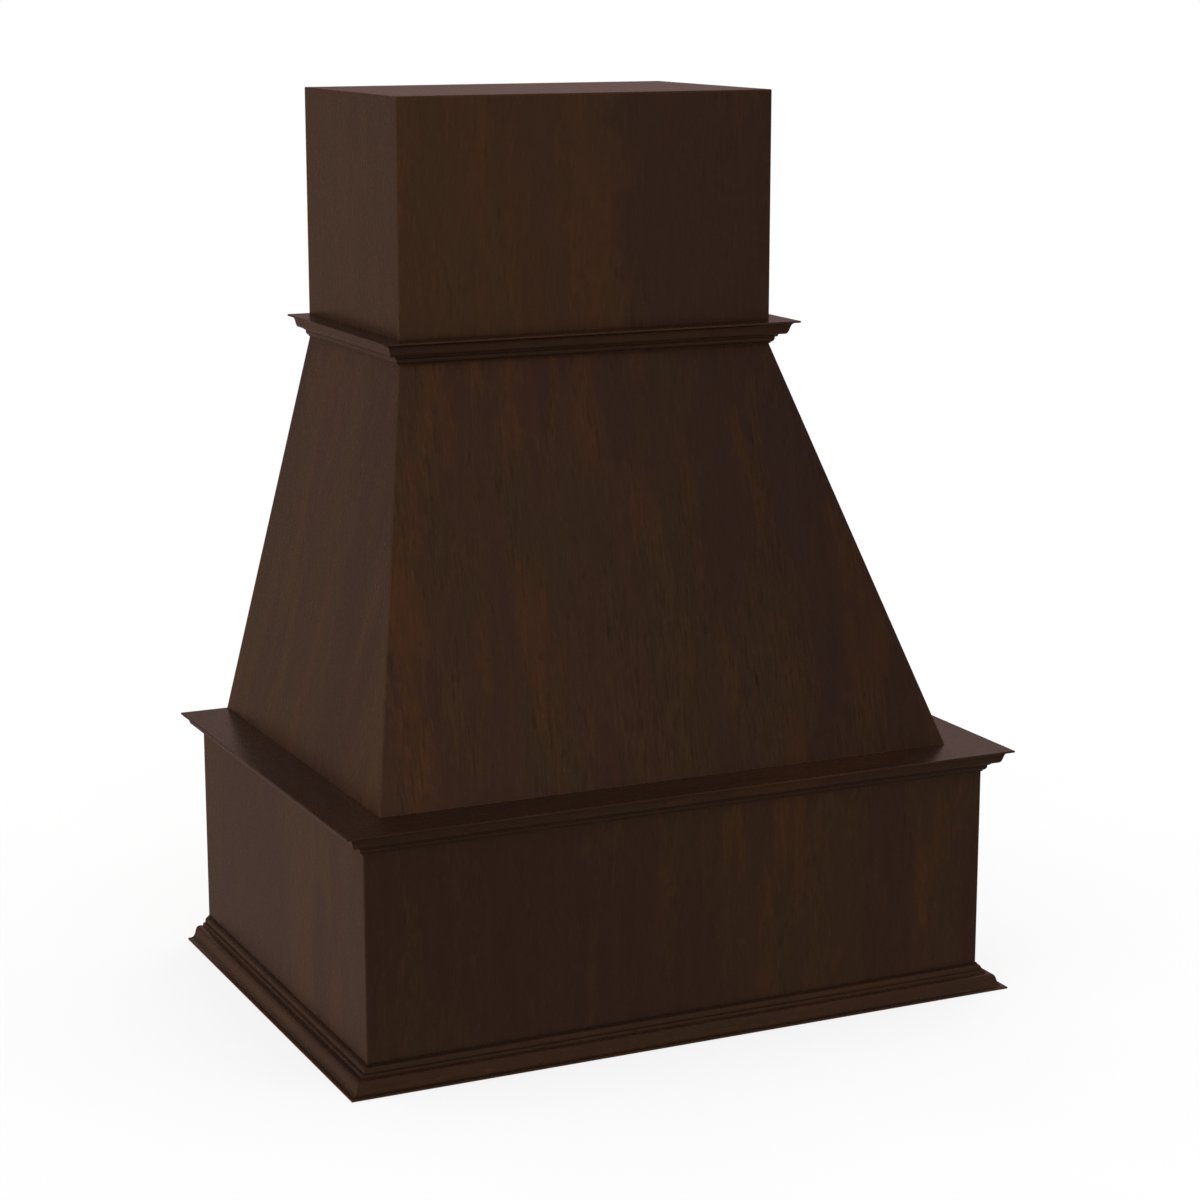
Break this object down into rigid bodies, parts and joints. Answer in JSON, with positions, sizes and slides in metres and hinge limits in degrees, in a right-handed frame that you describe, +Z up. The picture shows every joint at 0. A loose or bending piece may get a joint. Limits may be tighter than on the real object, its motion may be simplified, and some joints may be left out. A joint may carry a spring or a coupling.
{
  "type": "range hood cover",
  "caption": "Wooden range hood cover: apron box with base and ledge mouldings, tapered canopy, collar and square chimney. Open below and behind, with battens and rails to hang it by.",
  "frame": {"origin": "middle of the footprint on the plane of the bottom rim", "axes": "+Z up, +Y towards the wall, +X to the right seen from the front"},
  "size_m": [0.8446, 0.5968, 1.0668],
  "materials": {
    "stained_plywood": "dark espresso stain, satin lacquer, bare inside",
    "stained_moulding": "solid wood, dark espresso stain, satin lacquer",
    "stained_ledge": "dark espresso stain, satin lacquer on top, bare underneath",
    "bare_batten": "planed, unfinished",
    "zinc_screw": "zinc plated"
  },
  "bodies": {
    "root": {"apron_corner_block_left": "bare_batten", "apron_corner_block_right": "bare_batten", "apron_front_panel": "stained_plywood", "apron_left_panel": "stained_plywood", "apron_right_panel": "stained_plywood", "apron_wall_rail": "bare_batten", "base_moulding_front": "stained_moulding", "base_moulding_left": "stained_moulding", "base_moulding_right": "stained_moulding", "canopy_foot_cleat_front": "bare_batten", "canopy_foot_cleat_left": "bare_batten", "canopy_foot_cleat_right": "bare_batten", "canopy_front_panel": "stained_plywood", "canopy_left_panel": "stained_plywood", "canopy_rear_batten_left": "bare_batten", "canopy_rear_batten_right": "bare_batten", "canopy_right_panel": "stained_plywood", "chimney_corner_block_left": "bare_batten", "chimney_corner_block_right": "bare_batten", "chimney_panel_front": "stained_plywood", "chimney_panel_left": "stained_plywood", "chimney_panel_right": "stained_plywood", "chimney_top_panel": "stained_plywood", "chimney_wall_rail": "bare_batten", "collar_moulding_front": "stained_moulding", "collar_moulding_left": "stained_moulding", "collar_moulding_right": "stained_moulding", "foot_screw_front_a": "zinc_screw", "foot_screw_front_b": "zinc_screw", "foot_screw_left_a": "zinc_screw", "foot_screw_left_b": "zinc_screw", "foot_screw_right_a": "zinc_screw", "foot_screw_right_b": "zinc_screw", "hip_batten_left": "bare_batten", "hip_batten_right": "bare_batten", "ledge_board_front": "stained_ledge", "ledge_board_left": "stained_ledge", "ledge_board_right": "stained_ledge", "ledge_moulding_front": "stained_moulding", "ledge_moulding_left": "stained_moulding", "ledge_moulding_right": "stained_moulding", "ledger_screw_front_a": "zinc_screw", "ledger_screw_front_b": "zinc_screw", "ledger_screw_left_a": "zinc_screw", "ledger_screw_left_b": "zinc_screw", "ledger_screw_right_a": "zinc_screw", "ledger_screw_right_b": "zinc_screw", "liner_ledger_back": "bare_batten", "liner_ledger_front": "bare_batten", "liner_ledger_left": "bare_batten", "liner_ledger_right": "bare_batten", "neck_cleat_front": "bare_batten", "neck_cleat_left": "bare_batten", "neck_cleat_right": "bare_batten", "neck_wall_rail": "bare_batten", "top_cleat_front": "bare_batten", "top_cleat_left": "bare_batten", "top_cleat_right": "bare_batten"}
  },
  "joints": []
}
